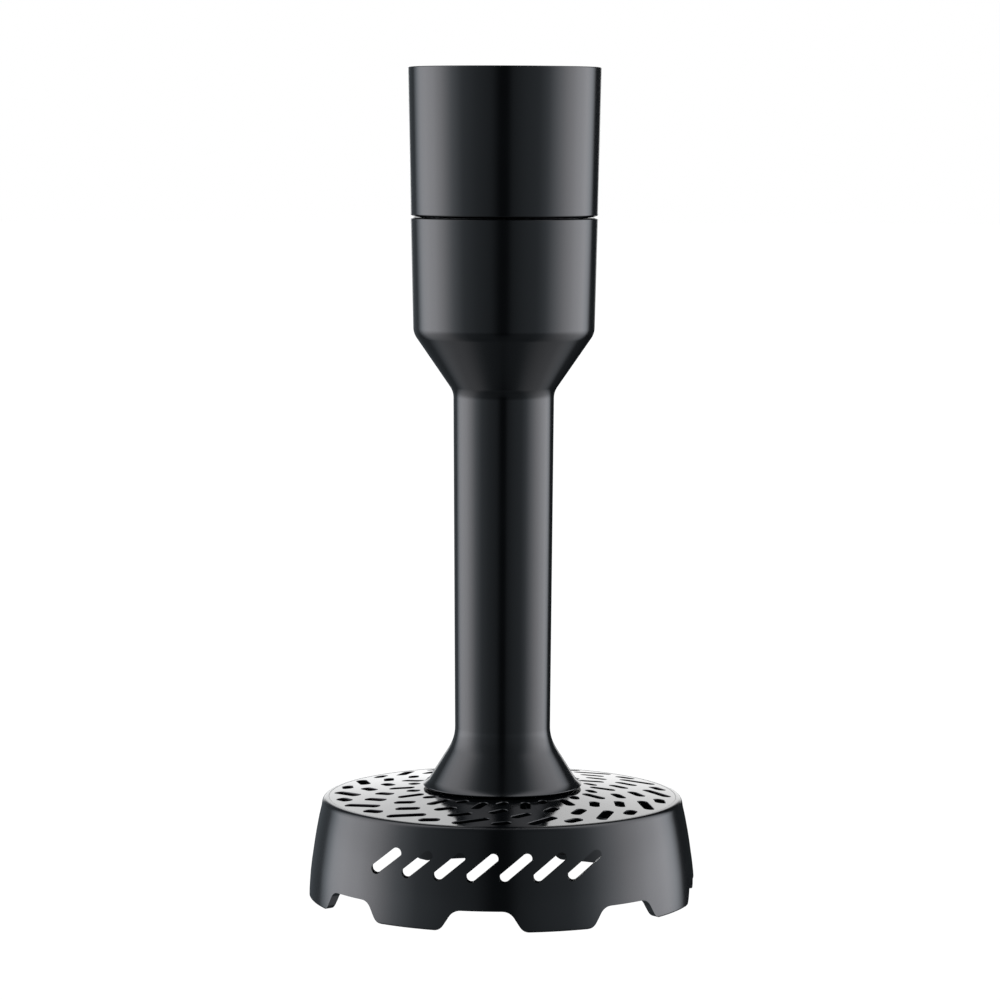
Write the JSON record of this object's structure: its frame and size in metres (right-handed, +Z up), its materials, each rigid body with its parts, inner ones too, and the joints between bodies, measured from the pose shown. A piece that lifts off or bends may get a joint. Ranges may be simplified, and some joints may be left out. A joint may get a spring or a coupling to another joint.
{
  "type": "hand blender masher attachment",
  "caption": "Twist-on masher attachment for a stick blender: slim tapered leg, motor socket with a two-stage planetary gear unit, and a slotted bell foot over a swept paddle.",
  "frame": {"origin": "on the leg's axis, in the plane of the foot's rim", "axes": "+Z up the leg towards the motor socket, -Y through the middle of the front group of side slots"},
  "size_m": [0.1082, 0.1082, 0.2322],
  "materials": {
    "gloss_black": "gloss",
    "satin_black": "satin",
    "case_grey": "satin",
    "gear_white": "satin",
    "bronze": "satin",
    "seal_rubber": "matte",
    "steel": "satin"
  },
  "bodies": {
    "leg": {"leg_shell": "gloss_black", "foot_skirt": "gloss_black", "sieve_plate": "gloss_black", "lower_bearing_block": "satin_black", "lower_bush": "bronze", "shaft_seal": "seal_rubber", "upper_bearing_carrier": "satin_black", "upper_bush": "bronze", "foot_screw_1": "steel", "foot_screw_2": "steel", "foot_screw_3": "steel"},
    "gear_unit": {"gear_collar": "gloss_black", "gear_case": "case_grey", "ring_gear": "gear_white", "socket_plate": "satin_black", "gear_cover": "satin_black", "input_bush": "bronze", "output_bush": "bronze", "output_thrust_washer": "steel", "joint_seal_ring": "seal_rubber", "socket_plate_screw_1": "steel", "socket_plate_screw_2": "steel", "socket_plate_screw_3": "steel", "gear_cover_screw_1": "steel", "gear_cover_screw_2": "steel", "gear_cover_screw_3": "steel"},
    "input_drive": {"drive_dog": "satin_black", "input_pinion_shaft": "steel", "input_seal": "seal_rubber"},
    "first_stage": {"first_carrier": "steel", "first_planet_pin_1": "steel", "first_planet_pin_2": "steel", "first_planet_pin_3": "steel"},
    "output_drive": {"output_carrier": "steel", "output_circlip": "steel", "drive_shaft": "steel", "upper_shaft_dog": "satin_black", "lower_shaft_dog": "satin_black", "shaft_washer": "steel", "shaft_circlip": "steel", "second_planet_pin_1": "steel", "second_planet_pin_2": "steel", "second_planet_pin_3": "steel"},
    "first_planet_1": {"first_planet_1": "gear_white"},
    "first_planet_2": {"first_planet_2": "gear_white"},
    "first_planet_3": {"first_planet_3": "gear_white"},
    "second_planet_1": {"second_planet_1": "gear_white"},
    "second_planet_2": {"second_planet_2": "gear_white"},
    "second_planet_3": {"second_planet_3": "gear_white"},
    "paddle": {"mash_paddle": "satin_black", "paddle_clip": "steel"}
  },
  "joints": [
    {"name": "twist_lock", "type": "hinge", "parent": "leg", "child": "gear_unit", "pos_m": [0, 0, 0.18], "axis": [0, 0, 1], "range_deg": [0, 40]},
    {"name": "output_spin", "type": "hinge", "parent": "gear_unit", "child": "output_drive", "pos_m": [0, 0, 0.18], "axis": [0, 0, 1], "continuous": true},
    {"name": "first_carrier_spin", "type": "hinge", "parent": "gear_unit", "child": "first_stage", "pos_m": [0, 0, 0.2], "axis": [0, 0, 1], "continuous": true},
    {"name": "input_spin", "type": "hinge", "parent": "gear_unit", "child": "input_drive", "pos_m": [0, 0, 0.21], "axis": [0, 0, 1], "continuous": true},
    {"name": "first_planet_1_spin", "type": "hinge", "parent": "first_stage", "child": "first_planet_1", "pos_m": [0, 0.0105, 0.208], "axis": [0, 0, 1], "continuous": true},
    {"name": "first_planet_2_spin", "type": "hinge", "parent": "first_stage", "child": "first_planet_2", "pos_m": [-0.00909, -0.00525, 0.208], "axis": [0, 0, 1], "continuous": true},
    {"name": "first_planet_3_spin", "type": "hinge", "parent": "first_stage", "child": "first_planet_3", "pos_m": [0.00909, -0.00525, 0.208], "axis": [0, 0, 1], "continuous": true},
    {"name": "second_planet_1_spin", "type": "hinge", "parent": "output_drive", "child": "second_planet_1", "pos_m": [0, 0.0105, 0.198], "axis": [0, 0, 1], "continuous": true},
    {"name": "second_planet_2_spin", "type": "hinge", "parent": "output_drive", "child": "second_planet_2", "pos_m": [-0.00909, -0.00525, 0.198], "axis": [0, 0, 1], "continuous": true},
    {"name": "second_planet_3_spin", "type": "hinge", "parent": "output_drive", "child": "second_planet_3", "pos_m": [0.00909, -0.00525, 0.198], "axis": [0, 0, 1], "continuous": true},
    {"name": "paddle_pull_off", "type": "slide", "parent": "output_drive", "child": "paddle", "axis": [0, 0, -1], "range_m": [0, 0.045]}
  ],
  "couplings": [
    {"joint": "output_spin", "follows": "first_carrier_spin", "ratio": 0.2},
    {"joint": "input_spin", "follows": "first_carrier_spin", "ratio": 5},
    {"joint": "first_planet_1_spin", "follows": "first_carrier_spin", "ratio": -2.6667},
    {"joint": "first_planet_2_spin", "follows": "first_carrier_spin", "ratio": -2.6667},
    {"joint": "first_planet_3_spin", "follows": "first_carrier_spin", "ratio": -2.6667},
    {"joint": "second_planet_1_spin", "follows": "first_carrier_spin", "ratio": -0.53333},
    {"joint": "second_planet_2_spin", "follows": "first_carrier_spin", "ratio": -0.53333},
    {"joint": "second_planet_3_spin", "follows": "first_carrier_spin", "ratio": -0.53333}
  ]
}
